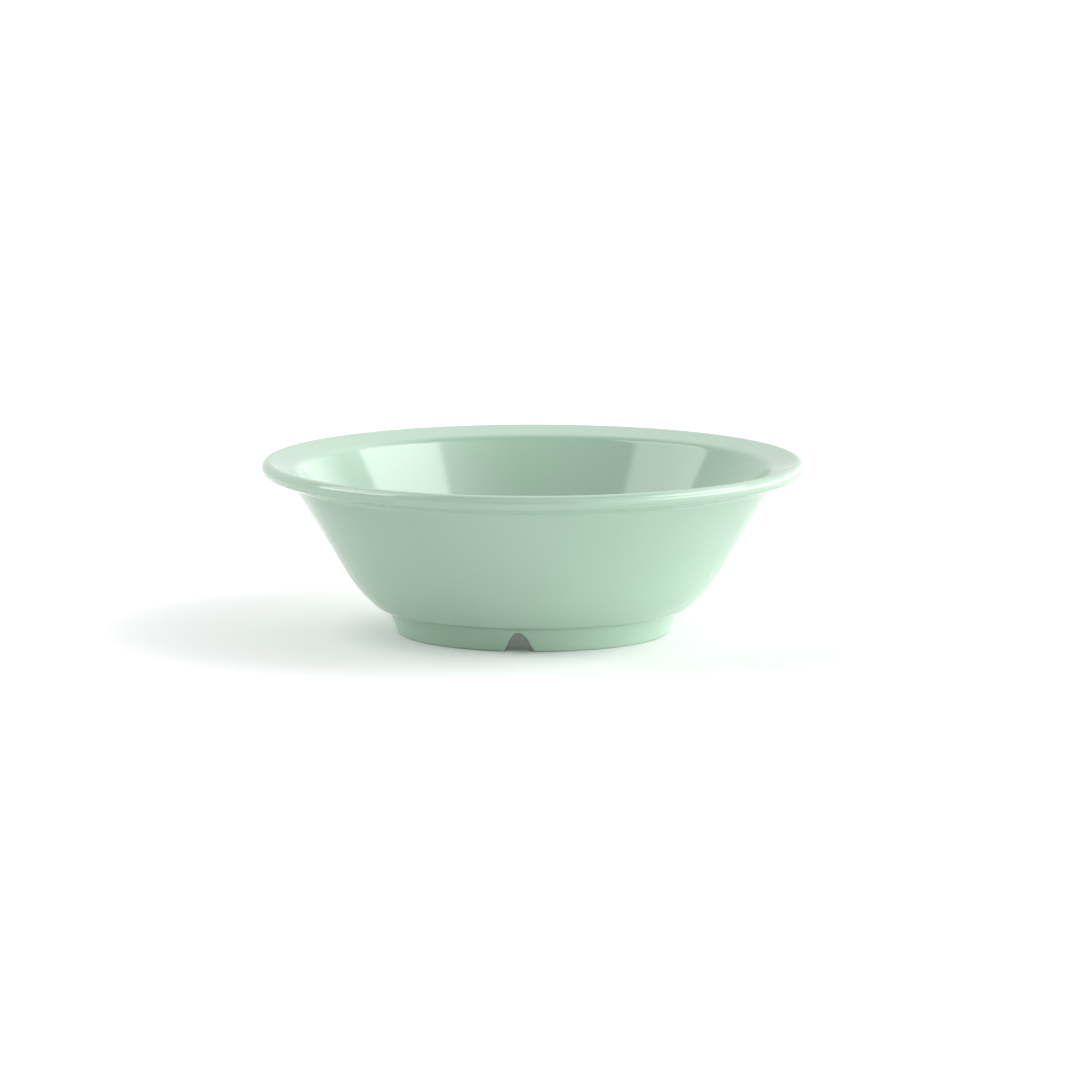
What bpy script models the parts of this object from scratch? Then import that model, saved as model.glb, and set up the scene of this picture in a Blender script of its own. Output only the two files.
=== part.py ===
"""A rimmed bowl of moulded melamine: one piece, turned about +Z, with drain notches through its foot ring.

Metres, +Z up. The origin is the centre of the circle that the foot ring stands on, and the front drain
notch faces -Y. An outline point is (radius, height).
"""

import math

import bmesh
import bpy
from mathutils import Matrix

# Overall size
DIAMETER = 0.180
HEIGHT = 0.0575

# Rim: a band that slopes up and outwards and ends in a full round lip
LIP_RADIUS = 0.0024
RIM_SLOPE = math.radians(17.5)
RIM_OVERHANG = 0.0099
RIM_INNER_EDGE_RADIUS = 0.0045
UNDER_RIM_RADIUS = 0.0045

# Wall: a straight cone that curves in at the bottom, to a shoulder over the foot ring
WALL_LEAN = math.radians(31.1)
WALL_THICKNESS = 0.0036
LOWER_WALL_HEIGHT = 0.0144
LOWER_WALL_LEAN = math.radians(50.2)
LOWER_WALL_RADIUS = 0.046
SHOULDER_HEIGHT = 0.00895
SHOULDER_RADIUS = 0.0035

# Foot ring, tapered on both sides, and the recess that it encloses under the base
FOOT_RADIUS = 0.04525
FOOT_HEIGHT = 0.0074
FOOT_TAPER = math.radians(20.0)
FOOT_CREASE_RADIUS = 0.0026
FOOT_WIDTH = 0.0042
FOOT_EDGE_RADIUS = 0.0009
RECESS_HEIGHT = 0.0070
RECESS_DRAFT = math.radians(12.0)
RECESS_CORNER_RADIUS = 0.0015

# Inside
BASE_THICKNESS = 0.0038
INSIDE_CORNER_RADIUS = 0.020

# Drain notches: arches through the foot ring, parabolic in outline
NOTCH_COUNT = 3
NOTCH_WIDTH = 0.0092
NOTCH_HEIGHT = 0.0067
NOTCH_POINTS = 13
NOTCH_DEPTH_BELOW = 0.001
NOTCH_SIDE_CLEARANCE = 0.002

# Fineness of the mesh
TURN_STEPS = 84
CHORD_ERROR = 0.00006
SHARP_ANGLE = math.radians(40.0)

# Melamine, opaque mint green with a glossy moulded surface
MINT_GREEN = (0.36, 0.51, 0.40, 1.0)
MELAMINE_ROUGHNESS = 0.12


def clear_scene():
    for thing in list(bpy.data.objects):
        bpy.data.objects.remove(thing, do_unlink=True)


def new_collection(name):
    collection = bpy.data.collections.new(name)
    bpy.context.scene.collection.children.link(collection)
    return collection


def melamine():
    material = bpy.data.materials.new("mint_melamine")
    material.use_nodes = True
    shader = material.node_tree.nodes["Principled BSDF"]
    shader.inputs["Base Color"].default_value = MINT_GREEN
    shader.inputs["Roughness"].default_value = MELAMINE_ROUGHNESS
    shader.inputs["Metallic"].default_value = 0.0
    return material


def arc(centre, radius, start, end):
    """Points on a circle from angle start to angle end, both included, within the chord error."""
    widest_step = 2 * math.acos(1 - CHORD_ERROR / radius)
    steps = math.ceil(abs(end - start) / widest_step)
    angles = [start + (end - start) * i / steps for i in range(steps + 1)]
    return [(centre[0] + radius * math.cos(a), centre[1] + radius * math.sin(a)) for a in angles]


def rounded_corner(before, corner, after, radius):
    """The arc that rounds a corner of an outline, tangent to the straight lines on both sides."""
    towards_before = math.atan2(before[1] - corner[1], before[0] - corner[0])
    towards_after = math.atan2(after[1] - corner[1], after[0] - corner[0])
    opening = math.remainder(towards_after - towards_before, math.tau)
    bisector = towards_before + opening / 2
    reach = radius / math.sin(abs(opening) / 2)
    centre = (corner[0] + reach * math.cos(bisector), corner[1] + reach * math.sin(bisector))
    turn = math.copysign(math.pi - abs(opening), -opening)
    start = towards_before + math.copysign(math.pi / 2, -opening)
    return arc(centre, radius, start, start + turn)


def rounded_outline(corners):
    """An open outline from (radius, height, rounding) corners. A rounding of 0 keeps the point sharp."""
    points = [corners[0][:2]]
    for before, corner, after in zip(corners, corners[1:], corners[2:]):
        if corner[2]:
            points += rounded_corner(before, corner, after, corner[2])
        else:
            points.append(corner[:2])
    return points + [corners[-1][:2]]


def lip():
    """The round edge of the rim, from the end of its top face over the outermost point to its underside."""
    centre = (DIAMETER / 2 - LIP_RADIUS, HEIGHT - LIP_RADIUS)
    quarter = math.pi / 2
    top_and_side = arc(centre, LIP_RADIUS, quarter + RIM_SLOPE, quarter)[:-1]
    top_and_side += arc(centre, LIP_RADIUS, quarter, 0.0)[:-1]
    return top_and_side + arc(centre, LIP_RADIUS, 0.0, RIM_SLOPE - quarter)


def bowl_outline():
    """Half of the bowl's section: from the middle of the floor, over the rim, to the middle of the underside."""
    lip_points = lip()
    rim_top = lip_points[0]
    rim_underside = lip_points[-1]
    lean = math.tan(WALL_LEAN)

    # Outer side, downwards from the corner under the rim
    under_rim_r = DIAMETER / 2 - RIM_OVERHANG
    under_rim_z = rim_underside[1] - (rim_underside[0] - under_rim_r) * math.tan(RIM_SLOPE)
    lower_wall_r = under_rim_r - (under_rim_z - LOWER_WALL_HEIGHT) * lean
    shoulder_r = lower_wall_r - (LOWER_WALL_HEIGHT - SHOULDER_HEIGHT) * math.tan(LOWER_WALL_LEAN)
    foot_top_r = FOOT_RADIUS + FOOT_HEIGHT * math.tan(FOOT_TAPER)
    foot_inner_r = FOOT_RADIUS - FOOT_WIDTH
    recess_r = foot_inner_r - RECESS_HEIGHT * math.tan(RECESS_DRAFT)

    # Inner side, parallel to the wall's outer side
    floor_z = RECESS_HEIGHT + BASE_THICKNESS
    inner_wall_r = under_rim_r - WALL_THICKNESS / math.cos(WALL_LEAN)
    floor_corner_r = inner_wall_r - (under_rim_z - floor_z) * lean
    rise = rim_top[1] - under_rim_z - (rim_top[0] - inner_wall_r) * math.tan(RIM_SLOPE)
    rim_edge_z = under_rim_z + rise / (1 - lean * math.tan(RIM_SLOPE))
    rim_edge_r = inner_wall_r + (rim_edge_z - under_rim_z) * lean

    return rounded_outline(
        [
            (0.0, floor_z, 0),
            (floor_corner_r, floor_z, INSIDE_CORNER_RADIUS),
            (rim_edge_r, rim_edge_z, RIM_INNER_EDGE_RADIUS),
            *[(r, z, 0) for r, z in lip_points],
            (under_rim_r, under_rim_z, UNDER_RIM_RADIUS),
            (lower_wall_r, LOWER_WALL_HEIGHT, LOWER_WALL_RADIUS),
            (shoulder_r, SHOULDER_HEIGHT, SHOULDER_RADIUS),
            (foot_top_r, FOOT_HEIGHT, FOOT_CREASE_RADIUS),
            (FOOT_RADIUS, 0.0, FOOT_EDGE_RADIUS),
            (foot_inner_r, 0.0, FOOT_EDGE_RADIUS),
            (recess_r, RECESS_HEIGHT, RECESS_CORNER_RADIUS),
            (0.0, RECESS_HEIGHT, 0),
        ]
    )


def turned(name, outline, collection):
    """A solid of revolution about Z, from an outline that starts and ends on the axis."""
    mesh = bpy.data.meshes.new(name)
    edges = [(i, i + 1) for i in range(len(outline) - 1)]
    mesh.from_pydata([(r, 0.0, z) for r, z in outline], edges, [])
    solid = bpy.data.objects.new(name, mesh)
    collection.objects.link(solid)
    screw = solid.modifiers.new("turning", "SCREW")
    screw.axis = "Z"
    screw.angle = math.tau
    screw.steps = TURN_STEPS
    screw.render_steps = TURN_STEPS
    screw.use_merge_vertices = True
    screw.merge_threshold = 0.00001
    screw.use_smooth_shade = True
    return solid


def notch_outline():
    """Points of one arch, as (across, up): a parabola that runs on to just below the foot ring."""
    half_width = NOTCH_WIDTH / 2 * math.sqrt(1 + NOTCH_DEPTH_BELOW / NOTCH_HEIGHT)
    across = [half_width * (2 * i / (NOTCH_POINTS - 1) - 1) for i in range(NOTCH_POINTS)]
    return [(x, NOTCH_HEIGHT * (1 - (2 * x / NOTCH_WIDTH) ** 2)) for x in across]


def notch_cutter(index, collection):
    """A mesh prism of the arch's outline that runs radially through the foot ring."""
    inner = FOOT_RADIUS - FOOT_WIDTH - RECESS_HEIGHT * math.tan(RECESS_DRAFT) - NOTCH_SIDE_CLEARANCE
    outer = FOOT_RADIUS + FOOT_HEIGHT * math.tan(FOOT_TAPER) + NOTCH_SIDE_CLEARANCE
    outline = notch_outline()
    curve = bpy.data.curves.new("notch_outline", "CURVE")
    curve.dimensions = "2D"
    curve.fill_mode = "BOTH"
    curve.extrude = (outer - inner) / 2
    spline = curve.splines.new("POLY")
    spline.points.add(len(outline) - 1)
    for point, (x, z) in zip(spline.points, outline):
        point.co = (x, z, 0.0, 1.0)
    spline.use_cyclic_u = True
    guide = bpy.data.objects.new("notch_guide", curve)
    collection.objects.link(guide)
    around = Matrix.Rotation(math.tau * index / NOTCH_COUNT, 4, "Z")
    outwards = Matrix.Translation((0.0, -(inner + outer) / 2, 0.0))
    upright = Matrix.Rotation(math.pi / 2, 4, "X")
    guide.matrix_world = around @ outwards @ upright
    bpy.context.view_layer.update()

    mesh = bpy.data.meshes.new_from_object(guide.evaluated_get(bpy.context.evaluated_depsgraph_get()))
    work = bmesh.new()
    work.from_mesh(mesh)
    bmesh.ops.remove_doubles(work, verts=work.verts, dist=0.00001)
    bmesh.ops.recalc_face_normals(work, faces=work.faces)
    work.to_mesh(mesh)
    work.free()
    cutter = bpy.data.objects.new(f"notch_cutter_{index + 1}", mesh)
    cutter.matrix_world = guide.matrix_world
    cutter.hide_render = True
    cutter.display_type = "WIRE"
    collection.objects.link(cutter)
    bpy.data.objects.remove(guide, do_unlink=True)
    return cutter


def cut(solid, cutter):
    boolean = solid.modifiers.new(cutter.name, "BOOLEAN")
    boolean.operation = "DIFFERENCE"
    boolean.solver = "EXACT"
    boolean.object = cutter


def main():
    clear_scene()
    parts = new_collection("mixing_bowl")
    cutters = new_collection("cutters")
    bowl = turned("bowl", bowl_outline(), parts)
    bowl.data.materials.append(melamine())
    for index in range(NOTCH_COUNT):
        cut(bowl, notch_cutter(index, cutters))
    bowl.data.set_sharp_from_angle(angle=SHARP_ANGLE)


main()
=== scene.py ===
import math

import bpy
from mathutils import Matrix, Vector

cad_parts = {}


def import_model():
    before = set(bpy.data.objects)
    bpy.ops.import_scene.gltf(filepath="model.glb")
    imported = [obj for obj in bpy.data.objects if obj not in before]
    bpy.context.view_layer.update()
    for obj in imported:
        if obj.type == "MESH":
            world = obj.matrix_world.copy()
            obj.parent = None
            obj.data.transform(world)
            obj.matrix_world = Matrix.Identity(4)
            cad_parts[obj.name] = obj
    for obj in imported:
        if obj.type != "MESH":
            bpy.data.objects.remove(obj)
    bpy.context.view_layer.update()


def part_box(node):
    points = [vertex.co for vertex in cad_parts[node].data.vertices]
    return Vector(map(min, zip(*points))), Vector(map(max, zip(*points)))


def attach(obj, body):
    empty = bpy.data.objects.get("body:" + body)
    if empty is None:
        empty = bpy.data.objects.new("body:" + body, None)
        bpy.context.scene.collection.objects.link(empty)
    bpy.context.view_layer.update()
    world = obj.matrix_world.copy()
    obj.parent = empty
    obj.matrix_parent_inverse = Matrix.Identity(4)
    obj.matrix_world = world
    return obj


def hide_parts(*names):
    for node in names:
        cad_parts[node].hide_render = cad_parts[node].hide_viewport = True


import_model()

# The finished look of the mint-green melamine bowl: a fine turned surface in place of the faceted CAD
# solid, its glossy moulded material, a white table and soft studio light. Metres, in the CAD's frame:
# +Z up, the bowl's axis on Z, and the front drain notch towards -Y.

bowl_low, bowl_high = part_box("bowl")

# Overall size, from the frame
RADIUS = (bowl_high.x - bowl_low.x) / 2
HEIGHT = bowl_high.z

# Section of the bowl, as the CAD has it
LIP_RADIUS = 0.0024
RIM_SLOPE = math.radians(17.5)
RIM_OVERHANG = 0.0099
RIM_INNER_EDGE_RADIUS = 0.0045
UNDER_RIM_RADIUS = 0.0045
WALL_LEAN = math.radians(31.1)
WALL_THICKNESS = 0.0036
LOWER_WALL_HEIGHT = 0.0144
LOWER_WALL_LEAN = math.radians(50.2)
LOWER_WALL_RADIUS = 0.046
SHOULDER_HEIGHT = 0.00895
SHOULDER_RADIUS = 0.0035
FOOT_RADIUS = 0.04525
FOOT_HEIGHT = 0.0074
FOOT_TAPER = math.radians(20.0)
FOOT_CREASE_RADIUS = 0.0026
FOOT_WIDTH = 0.0042
FOOT_EDGE_RADIUS = 0.0009
RECESS_HEIGHT = 0.0070
RECESS_DRAFT = math.radians(12.0)
RECESS_CORNER_RADIUS = 0.0015
BASE_THICKNESS = 0.0038
INSIDE_CORNER_RADIUS = 0.020

# Drain notches: arches with a soft foot, whose edges and roof have smaller roundings than the ring
NOTCH_COUNT = 3
NOTCH_WIDTH = 0.0092
NOTCH_HEIGHT = 0.0067
NOTCH_FLARE = 0.0014
NOTCH_EDGE_RADIUS = 0.0003
NOTCH_CREASE_RADIUS = 0.0008
NOTCH_RECESS_RADIUS = 0.00004
FRONT = -math.pi / 2

# Fineness of the surface
COLUMNS = 480
CROWDING = 0.85
LIP_STEPS = 36
STRAIGHT_PARTS = 3
SUPPORT = 0.0003

# Camera, turned a little so that the front notch is left of the middle
CAMERA_TURN = math.radians(5.8)
CAMERA_PITCH = math.radians(8.43)
CAMERA_DISTANCE = 26 * RADIUS
CAMERA_LENS = 234.8
SENSOR_WIDTH = 36.0
CLIP_END = 20.0
AIM_RIGHT = 0.00229
AIM_UP = 0.00155

# The studio is laid out as the camera sees it: X to the right and Y away from it
STUDIO = Matrix.Rotation(CAMERA_TURN, 4, "Z")
SOFTBOX_DISTANCE = 1.1
RIGHT_STRIPS = [(-0.42, -0.12, 2.6), (-0.12, 0.12, 3.1)]
LEFT_STRIPS = [(-0.42, -0.12, 4.2), (-0.12, 0.12, 2.1), (0.12, 0.42, 2.4)]
FLOOR_RADIUS = 0.45
FLOOR_SIDES = 128
FLOOR_WHITE = (0.94, 0.94, 0.94)

# Radiance of the room on each side, at these sines of the elevation, and below the horizon
ELEVATION_SINES = (0.0, 0.17, 0.42, 0.71, 0.91, 1.0)
SURROUNDINGS = {
    "right": (11.0, 5.2, 1.1, 2.5, 0.0, 0.0),
    "back": (0.95, 0.85, 1.0, 1.2, 1.0, 0.6),
    "left": (0.2, 1.2, 1.0, 0.3, 0.0, 0.0),
    "front": (0.0, 0.0, 0.2, 1.2, 0.0, 0.0),
}
BELOW_HORIZON = (1.0, 1.0, 1.0)

# A colour ramp holds 0 to 1, so radiances are scaled down in it. The camera sees white, not the room.
RAMP_SCALE = 16.0
TINY = 0.000001
SEEN_WHITE = 1.2

# A dim lamp in the recess, just under its ceiling
RECESS_LIGHT_RADIUS = 0.038
RECESS_LIGHT_DROP = 0.0005
RECESS_RADIANCE = 0.12

# Melamine's colour: two shades that the mottling runs between, and its specks. A scale is in features
# per metre, and a speck's edge runs between two distances from its middle, in cells.
MINT_DEEP = (0.345, 0.497, 0.384)
MINT_PALE = (0.371, 0.527, 0.412)
MOTTLING_SCALE = 32.0
GRAIN_SCALE = 1400.0
GRAIN_SHARE = 0.2
SPECK_GREEN = (0.26, 0.37, 0.29)
SPECK_SCALE = 170.0
SPECK_EDGE = (0.02, 0.045)
SPECK_CHANCE = 0.3

# Melamine's surface: a rippled gloss, a satin underside with turning marks, and a worn foot
INDEX_OF_REFRACTION = 1.68
GLOSS_ROUGHNESS = 0.10
GLOSS_VARIATION = 0.02
SATIN_ROUGHNESS = 0.2
WORN_ROUGHNESS = 0.6
RIPPLE_SCALE = 75.0
RIPPLE_DEPTH = 0.000004
TURNING_PITCH = 0.00105
TURNING_SHARE = 0.25
SCUFF_SCALE = 900.0
WORN_HEIGHT = 0.0007
UNDERSIDE_RADIUS = FOOT_RADIUS - FOOT_WIDTH / 2
UNDERSIDE_BLUR = 0.0005


# Shape


def arc(centre, radius, start, end, steps):
    """Points on a circle from angle start to angle end, both included."""
    angles = [start + (end - start) * i / steps for i in range(steps + 1)]
    return [(centre[0] + radius * math.cos(a), centre[1] + radius * math.sin(a)) for a in angles]


def rounded_corner(before, corner, after):
    """The arc that rounds a corner, (radius, height, rounding, steps), between its two straight lines."""
    r, z, rounding, steps = corner
    towards_before = math.atan2(before[1] - z, before[0] - r)
    towards_after = math.atan2(after[1] - z, after[0] - r)
    opening = math.remainder(towards_after - towards_before, math.tau)
    bisector = towards_before + opening / 2
    reach = rounding / math.sin(abs(opening) / 2)
    centre = (r + reach * math.cos(bisector), z + reach * math.sin(bisector))
    turn = math.copysign(math.pi - abs(opening), -opening)
    start = towards_before + math.copysign(math.pi / 2, -opening)
    return arc(centre, rounding, start, start + turn, steps)


def straight(start, end):
    """Points between two ends, with one close to each end, so that the shading stays flat between."""
    near = min(SUPPORT / math.dist(start, end), 1 / 3)
    shares = [near + (1 - 2 * near) * i / STRAIGHT_PARTS for i in range(STRAIGHT_PARTS + 1)]
    return [(start[0] + (end[0] - start[0]) * s, start[1] + (end[1] - start[1]) * s) for s in shares]


def rounded_line(corners):
    """Points of a line from the first to the last corner, with the corners between them rounded."""
    points = [corners[0]]
    for before, corner, after in zip(corners, corners[1:], corners[2:]):
        bend = rounded_corner(before, corner, after)
        points += straight(points[-1], bend[0]) + bend
    return points + straight(points[-1], corners[-1]) + [corners[-1]]


def eased(plain, at_notch, lift):
    """A rounding that goes from its plain value to its value at the top of a notch."""
    share = min(lift / NOTCH_HEIGHT, 1.0)
    return plain + (at_notch - plain) * share


def bowl_section(outer_lift, inner_lift):
    """Half of the section, (radius, height), with both edges of the foot's land lifted off the table."""
    lip_centre = (RADIUS - LIP_RADIUS, HEIGHT - LIP_RADIUS)
    quarter = math.pi / 2
    lip = arc(lip_centre, LIP_RADIUS, quarter + RIM_SLOPE, RIM_SLOPE - quarter, LIP_STEPS)
    rim_top = lip[0]
    rim_underside = lip[-1]
    lean = math.tan(WALL_LEAN)
    slope = math.tan(RIM_SLOPE)
    taper = math.tan(FOOT_TAPER)
    draft = math.tan(RECESS_DRAFT)

    under_rim_r = RADIUS - RIM_OVERHANG
    under_rim_z = rim_underside[1] - (rim_underside[0] - under_rim_r) * slope
    lower_wall_r = under_rim_r - (under_rim_z - LOWER_WALL_HEIGHT) * lean
    shoulder_r = lower_wall_r - (LOWER_WALL_HEIGHT - SHOULDER_HEIGHT) * math.tan(LOWER_WALL_LEAN)
    foot_top_r = FOOT_RADIUS + FOOT_HEIGHT * taper
    foot_outer_r = FOOT_RADIUS + outer_lift * taper
    foot_inner_r = FOOT_RADIUS - FOOT_WIDTH - inner_lift * draft
    recess_r = FOOT_RADIUS - FOOT_WIDTH - RECESS_HEIGHT * draft
    crease = eased(FOOT_CREASE_RADIUS, NOTCH_CREASE_RADIUS, outer_lift)
    outer_edge = eased(FOOT_EDGE_RADIUS, NOTCH_EDGE_RADIUS, outer_lift)
    inner_edge = eased(FOOT_EDGE_RADIUS, NOTCH_EDGE_RADIUS, inner_lift)
    recess_corner = eased(RECESS_CORNER_RADIUS, NOTCH_RECESS_RADIUS, inner_lift)

    floor_z = RECESS_HEIGHT + BASE_THICKNESS
    inner_wall_r = under_rim_r - WALL_THICKNESS / math.cos(WALL_LEAN)
    floor_corner_r = inner_wall_r - (under_rim_z - floor_z) * lean
    rise = rim_top[1] - under_rim_z - (rim_top[0] - inner_wall_r) * slope
    rim_edge_z = under_rim_z + rise / (1 - lean * slope)
    rim_edge_r = inner_wall_r + (rim_edge_z - under_rim_z) * lean

    inner_side = rounded_line(
        [
            (0.0, floor_z),
            (floor_corner_r, floor_z, INSIDE_CORNER_RADIUS, 20),
            (rim_edge_r, rim_edge_z, RIM_INNER_EDGE_RADIUS, 10),
            rim_top,
        ]
    )
    outer_side = rounded_line(
        [
            rim_underside,
            (under_rim_r, under_rim_z, UNDER_RIM_RADIUS, 10),
            (lower_wall_r, LOWER_WALL_HEIGHT, LOWER_WALL_RADIUS, 14),
            (shoulder_r, SHOULDER_HEIGHT, SHOULDER_RADIUS, 6),
            (foot_top_r, FOOT_HEIGHT, crease, 8),
            (foot_outer_r, outer_lift, outer_edge, 8),
            (foot_inner_r, inner_lift, inner_edge, 8),
            (recess_r, RECESS_HEIGHT, recess_corner, 8),
            (0.0, RECESS_HEIGHT),
        ]
    )
    # The points right beside the axis aren't needed
    return inner_side[:1] + inner_side[2:] + lip[1:-1] + outer_side[:-2] + outer_side[-1:]


def notch_lift(across):
    """How far the foot's land is lifted at a distance across from the middle of a notch."""
    rise = NOTCH_HEIGHT * (1 - (2 * across / NOTCH_WIDTH) ** 2)
    return (rise + math.hypot(rise, NOTCH_FLARE)) / 2


def column_angles():
    """Angles about the axis, all the way round, closest together at the notches."""
    even = [math.tau * i / COLUMNS for i in range(COLUMNS)]
    return [FRONT + turn - CROWDING * math.sin(NOTCH_COUNT * turn) / NOTCH_COUNT for turn in even]


def column(angle):
    """The section's points at an angle about the axis, in space."""
    aside = math.sin(math.remainder(angle - FRONT, math.tau / NOTCH_COUNT))
    section = bowl_section(
        notch_lift(FOOT_RADIUS * aside),
        notch_lift((FOOT_RADIUS - FOOT_WIDTH) * aside),
    )
    return [(r * math.cos(angle), r * math.sin(angle), z) for r, z in section]


def turned_bowl():
    """The bowl's surface: columns of points round the axis, which share one point at each end."""
    columns = [column(angle) for angle in column_angles()]
    height = len(columns[0]) - 2
    vertices = [point for points in columns for point in points[1:-1]]
    top = len(vertices)
    bottom = top + 1
    vertices += [columns[0][0], columns[0][-1]]
    faces = []
    for i in range(COLUMNS):
        here = i * height
        there = (i + 1) % COLUMNS * height
        faces.append((top, here, there))
        for j in range(height - 1):
            faces.append((here + j, here + j + 1, there + j + 1, there + j))
        faces.append((here + height - 1, bottom, there + height - 1))
    mesh = bpy.data.meshes.new("melamine_bowl")
    mesh.from_pydata(vertices, [], faces)
    mesh.shade_smooth()
    bowl = bpy.data.objects.new("melamine_bowl", mesh)
    bpy.context.scene.collection.objects.link(bowl)
    return bowl


# Material


def node(tree, kind, location, **settings):
    """A new node with its settings, and with inputs that are given as (name, value) pairs."""
    made = tree.nodes.new(kind)
    made.location = location
    inputs = settings.pop("inputs", ())
    for name, value in settings.items():
        setattr(made, name, value)
    for name, value in inputs:
        made.inputs[name].default_value = value
    return made


def maths(tree, operation, first, second, location):
    """A Math node of two inputs, each a socket or a number."""
    made = node(tree, "ShaderNodeMath", location, operation=operation)
    for socket, value in zip(made.inputs, (first, second)):
        if isinstance(value, float):
            socket.default_value = value
        else:
            tree.links.new(value, socket)
    return made.outputs[0]


def noise(tree, place, scale, detail, location):
    """Smooth noise in the bowl's own coordinates, with this many features per metre."""
    made = node(tree, "ShaderNodeTexNoise", location, inputs=[("Scale", scale), ("Detail", detail)])
    tree.links.new(place, made.inputs["Vector"])
    return made.outputs["Fac"]


def fade(tree, value, start, end, location):
    """1 where the value is below start, 0 where it is above end, and a smooth step between them."""
    made = node(tree, "ShaderNodeMapRange", location, interpolation_type="SMOOTHSTEP")
    for name, number in (("From Min", start), ("From Max", end), ("To Min", 1.0), ("To Max", 0.0)):
        made.inputs[name].default_value = number
    tree.links.new(value, made.inputs["Value"])
    return made.outputs["Result"]


def mixed_colour(tree, factor, first, second, location):
    """A colour between two colours, each a socket or three numbers."""
    made = node(tree, "ShaderNodeMix", location, data_type="RGBA")
    tree.links.new(factor, made.inputs[0])
    for socket, colour in ((made.inputs[6], first), (made.inputs[7], second)):
        if isinstance(colour, tuple):
            socket.default_value = (*colour, 1.0)
        else:
            tree.links.new(colour, socket)
    return made.outputs[2]


def specks(tree, place, location):
    """1 inside the few small specks of darker pigment, and 0 elsewhere."""
    x, y = location
    cells = node(tree, "ShaderNodeTexVoronoi", (x, y), inputs=[("Scale", SPECK_SCALE)])
    tree.links.new(place, cells.inputs["Vector"])
    dots = fade(tree, cells.outputs["Distance"], *SPECK_EDGE, (x + 200, y + 100))
    chance = node(tree, "ShaderNodeSeparateColor", (x + 200, y - 150))
    tree.links.new(cells.outputs["Color"], chance.inputs[0])
    chosen = maths(tree, "LESS_THAN", chance.outputs[0], SPECK_CHANCE, (x + 400, y - 150))
    return maths(tree, "MULTIPLY", dots, chosen, (x + 600, y))


def pigment(tree, place, location):
    """Mint green, drifting faintly from deep to pale over centimetres, with a fine grain and specks."""
    x, y = location
    drift = noise(tree, place, MOTTLING_SCALE, 3.0, (x, y))
    grain = noise(tree, place, GRAIN_SCALE, 2.0, (x, y - 250))
    coarse = maths(tree, "MULTIPLY", drift, 1.0 - GRAIN_SHARE, (x + 200, y))
    fine = maths(tree, "MULTIPLY", grain, GRAIN_SHARE, (x + 200, y - 250))
    mottling = maths(tree, "ADD", coarse, fine, (x + 400, y))
    mint = mixed_colour(tree, mottling, MINT_DEEP, MINT_PALE, (x + 600, y))
    dots = specks(tree, place, (x, y + 350))
    return mixed_colour(tree, dots, mint, SPECK_GREEN, (x + 900, y))


def underside_mask(tree, radius, height, location):
    """1 on the recess and the inner side of the foot ring, and 0 elsewhere."""
    x, y = location
    blur = UNDERSIDE_BLUR
    inside = fade(tree, radius, UNDERSIDE_RADIUS - blur, UNDERSIDE_RADIUS + blur, (x, y))
    below = fade(tree, height, RECESS_HEIGHT + 2 * blur, RECESS_HEIGHT + 4 * blur, (x, y - 250))
    return maths(tree, "MULTIPLY", inside, below, (x + 200, y))


def melamine():
    """Opaque mint-green melamine with a rippled gloss. The recess is satin, and the foot is worn."""
    material = bpy.data.materials.new("melamine")
    material.use_nodes = True
    tree = material.node_tree
    shader = tree.nodes["Principled BSDF"]
    shader.inputs["IOR"].default_value = INDEX_OF_REFRACTION

    place = node(tree, "ShaderNodeTexCoord", (-2400, 0)).outputs["Object"]
    split = node(tree, "ShaderNodeSeparateXYZ", (-2200, -300))
    tree.links.new(place, split.inputs[0])
    across, away, height = split.outputs
    flat = node(tree, "ShaderNodeCombineXYZ", (-2000, -300))
    tree.links.new(across, flat.inputs[0])
    tree.links.new(away, flat.inputs[1])
    length = node(tree, "ShaderNodeVectorMath", (-1800, -300), operation="LENGTH")
    tree.links.new(flat.outputs[0], length.inputs[0])
    radius = length.outputs["Value"]
    underside = underside_mask(tree, radius, height, (-1600, -300))
    ripple = noise(tree, place, RIPPLE_SCALE, 1.0, (-1600, -800))

    # Roughness: even gloss, satin in the recess, scuffed where the foot stands
    scuffs = noise(tree, place, SCUFF_SCALE, 3.0, (-1600, -1050))
    low = fade(tree, height, 0.0, WORN_HEIGHT, (-1400, -1050))
    worn = maths(tree, "MULTIPLY", low, scuffs, (-1200, -1050))
    gloss = maths(tree, "MULTIPLY", ripple, GLOSS_VARIATION, (-1000, -700))
    gloss = maths(tree, "ADD", gloss, GLOSS_ROUGHNESS, (-800, -700))
    satin = maths(tree, "MULTIPLY", underside, SATIN_ROUGHNESS, (-1000, -500))
    wear = maths(tree, "MULTIPLY", worn, WORN_ROUGHNESS, (-1000, -1050))
    added = maths(tree, "ADD", satin, wear, (-800, -900))
    rough = maths(tree, "ADD", gloss, added, (-600, -700))

    # Relief, in units of the ripple depth: slow ripple, and the mould's turning marks in the recess
    phase = maths(tree, "MULTIPLY", radius, math.tau / TURNING_PITCH, (-1400, -1400))
    turning = maths(tree, "SINE", phase, 0.0, (-1200, -1400))
    depth = maths(tree, "MULTIPLY", underside, TURNING_SHARE, (-1200, -1600))
    marks = maths(tree, "MULTIPLY", turning, depth, (-1000, -1400))
    relief = maths(tree, "ADD", ripple, marks, (-800, -1400))
    bump = node(tree, "ShaderNodeBump", (-400, -1400), inputs=[("Distance", RIPPLE_DEPTH)])
    tree.links.new(relief, bump.inputs["Height"])

    tree.links.new(pigment(tree, place, (-1600, 300)), shader.inputs["Base Color"])
    tree.links.new(rough, shader.inputs["Roughness"])
    tree.links.new(bump.outputs["Normal"], shader.inputs["Normal"])
    return material


# Studio


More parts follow.
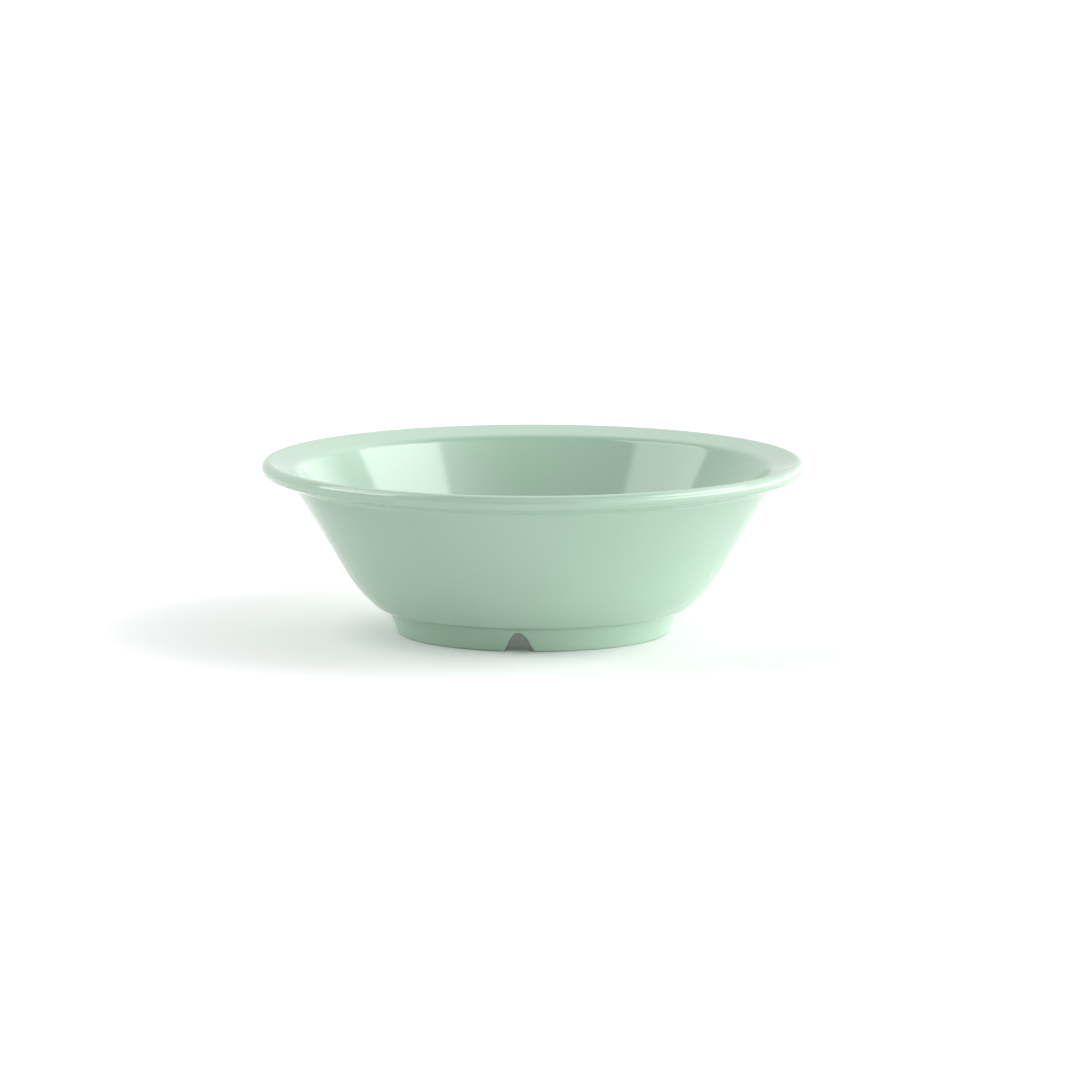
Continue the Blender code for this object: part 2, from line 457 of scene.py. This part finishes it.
def plain_material(name, colour, roughness):
    """One colour all over, without a reflection."""
    material = bpy.data.materials.new(name)
    material.use_nodes = True
    shader = material.node_tree.nodes["Principled BSDF"]
    shader.inputs["Base Color"].default_value = (*colour, 1.0)
    shader.inputs["Roughness"].default_value = roughness
    shader.inputs["Specular IOR Level"].default_value = 0.0
    return material


def table():
    """A round white table top. Past its edge, the camera sees the plain white of the world."""
    bpy.ops.mesh.primitive_circle_add(vertices=FLOOR_SIDES, radius=FLOOR_RADIUS, fill_type="NGON")
    top = bpy.context.object
    top.name = "table_top"
    top.data.materials.append(plain_material("white_table", FLOOR_WHITE, 1.0))


def softbox(name, azimuth, elevation, roll, ends, strips):
    """Stacked strips of light that face the bowl, each (bottom, top, radiance), unseen by the camera.

    The direction is in degrees: azimuth 0 is the camera's right, and 90 is behind the bowl. The ends
    are measured along the strips, from that direction to the right as seen from the light.
    """
    around = Matrix.Rotation(math.radians(azimuth), 4, "Z")
    upwards = Matrix.Rotation(-math.radians(elevation), 4, "Y")
    direction = (STUDIO @ (around @ upwards)).to_3x3() @ Vector((1.0, 0.0, 0.0))
    middle = Vector((0.0, 0.0, HEIGHT / 2))
    facing = (-direction).to_track_quat("-Z", "Y")
    upright = Matrix.LocRotScale(middle + direction * SOFTBOX_DISTANCE, facing, None)
    rolled = upright @ Matrix.Rotation(math.radians(roll), 4, "Z")
    for index, (bottom, top, radiance) in enumerate(strips):
        light = bpy.data.lights.new(f"{name}_{index + 1}", "AREA")
        light.shape = "RECTANGLE"
        light.size = ends[1] - ends[0]
        light.size_y = top - bottom
        light.energy = radiance * light.size * light.size_y * math.pi
        lamp = bpy.data.objects.new(light.name, light)
        lamp.matrix_world = rolled @ Matrix.Translation((sum(ends) / 2, (bottom + top) / 2, 0.0))
        lamp.visible_camera = False
        bpy.context.scene.collection.objects.link(lamp)


def recess_light():
    """A dim lamp that lights the table inside the foot ring, so that a notch doesn't open on black."""
    light = bpy.data.lights.new("recess", "AREA")
    light.shape = "DISK"
    light.size = 2 * RECESS_LIGHT_RADIUS
    area = math.pi * RECESS_LIGHT_RADIUS**2
    light.energy = RECESS_RADIANCE * area * math.pi
    lamp = bpy.data.objects.new("recess", light)
    lamp.location = (0.0, 0.0, RECESS_HEIGHT - RECESS_LIGHT_DROP)
    lamp.visible_camera = False
    bpy.context.scene.collection.objects.link(lamp)


def ramp(tree, values, location):
    """One side's radiances, blended from stop to stop over the sine of the elevation."""
    made = node(tree, "ShaderNodeValToRGB", location)
    elements = made.color_ramp.elements
    while len(elements) < len(values):
        elements.new(0.5)
    for element, sine, value in zip(elements, ELEVATION_SINES, values):
        element.position = sine
        element.color = (value / RAMP_SCALE, value / RAMP_SCALE, value / RAMP_SCALE, 1.0)
    return made


def side_pair(tree, along, share, sine, names, location):
    """The radiance of two opposite sides, weighted by how far a direction points along their axis."""
    x, y = location
    side = maths(tree, "GREATER_THAN", along, 0.0, (x, y + 150))
    colours = []
    for name, drop in zip(names, (0, -230)):
        values = ramp(tree, SURROUNDINGS[name], (x, y + drop))
        tree.links.new(sine, values.inputs[0])
        colours.append(values.outputs["Color"])
    nearer = mixed_colour(tree, side, colours[0], colours[1], (x + 300, y))
    weighted = node(tree, "ShaderNodeVectorMath", (x + 500, y), operation="SCALE")
    tree.links.new(nearer, weighted.inputs[0])
    tree.links.new(share, weighted.inputs["Scale"])
    return weighted.outputs[0]


def world():
    """The room round the table: each side has its own radiance. The camera sees plain white instead."""
    room = bpy.data.worlds.new("studio")
    bpy.context.scene.world = room
    room.use_nodes = True
    tree = room.node_tree
    tree.nodes.clear()
    direction = node(tree, "ShaderNodeTexCoord", (-1000, 0))
    turned = node(tree, "ShaderNodeVectorRotate", (-800, 0), rotation_type="Z_AXIS")
    turned.inputs["Angle"].default_value = -CAMERA_TURN
    split = node(tree, "ShaderNodeSeparateXYZ", (-600, 0))
    tree.links.new(direction.outputs["Generated"], turned.inputs["Vector"])
    tree.links.new(turned.outputs[0], split.inputs[0])
    across, away, sine = split.outputs

    # The tiny number keeps the shares defined straight up and straight down
    width = maths(tree, "MULTIPLY", across, across, (-400, 200))
    width = maths(tree, "ADD", width, TINY, (-200, 200))
    depth = maths(tree, "MULTIPLY", away, away, (-400, 0))
    both = maths(tree, "ADD", width, depth, (-200, 0))
    share_across = maths(tree, "DIVIDE", width, both, (0, 100))
    share_away = maths(tree, "SUBTRACT", 1.0, share_across, (0, -100))
    sides = side_pair(tree, across, share_across, sine, ("left", "right"), (200, 300))
    ends = side_pair(tree, away, share_away, sine, ("front", "back"), (200, -300))
    total = node(tree, "ShaderNodeVectorMath", (900, 0), operation="ADD")
    tree.links.new(sides, total.inputs[0])
    tree.links.new(ends, total.inputs[1])

    # Below the horizon the room is plain white, like the table
    above = maths(tree, "GREATER_THAN", sine, 0.0, (900, 250))
    below = tuple(value / RAMP_SCALE for value in BELOW_HORIZON)
    surroundings = mixed_colour(tree, above, below, total.outputs[0], (1100, 250))

    lighting = node(tree, "ShaderNodeBackground", (1300, 0), inputs=[("Strength", RAMP_SCALE)])
    seen = node(tree, "ShaderNodeBackground", (1300, -150), inputs=[("Strength", SEEN_WHITE)])
    seen.inputs["Color"].default_value = (1.0, 1.0, 1.0, 1.0)
    path = node(tree, "ShaderNodeLightPath", (1300, 350))
    mixed = node(tree, "ShaderNodeMixShader", (1500, 0))
    output = node(tree, "ShaderNodeOutputWorld", (1700, 0))
    tree.links.new(surroundings, lighting.inputs["Color"])
    tree.links.new(path.outputs["Is Camera Ray"], mixed.inputs[0])
    tree.links.new(lighting.outputs[0], mixed.inputs[1])
    tree.links.new(seen.outputs[0], mixed.inputs[2])
    tree.links.new(mixed.outputs[0], output.inputs["Surface"])


def camera():
    """A long lens, low in front of the bowl."""
    data = bpy.data.cameras.new("camera")
    data.lens = CAMERA_LENS
    data.sensor_width = SENSOR_WIDTH
    data.clip_end = CLIP_END
    eye = bpy.data.objects.new("camera", data)
    turned = STUDIO @ Matrix.Rotation(math.pi / 2 - CAMERA_PITCH, 4, "X")
    middle = Matrix.Translation((0.0, 0.0, HEIGHT / 2))
    eye.matrix_world = middle @ turned @ Matrix.Translation((AIM_RIGHT, AIM_UP, CAMERA_DISTANCE))
    bpy.context.scene.collection.objects.link(eye)
    bpy.context.scene.camera = eye


bowl = turned_bowl()
bowl.data.materials.append(melamine())
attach(bowl, "root")
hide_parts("bowl")

table()
world()
softbox("right", azimuth=0.0, elevation=45.0, roll=-27.0, ends=(-0.36, 0.417), strips=RIGHT_STRIPS)
softbox("left", azimuth=176.0, elevation=43.0, roll=27.0, ends=(-0.352, 0.352), strips=LEFT_STRIPS)
recess_light()
camera()
bpy.context.scene.view_settings.view_transform = "Standard"
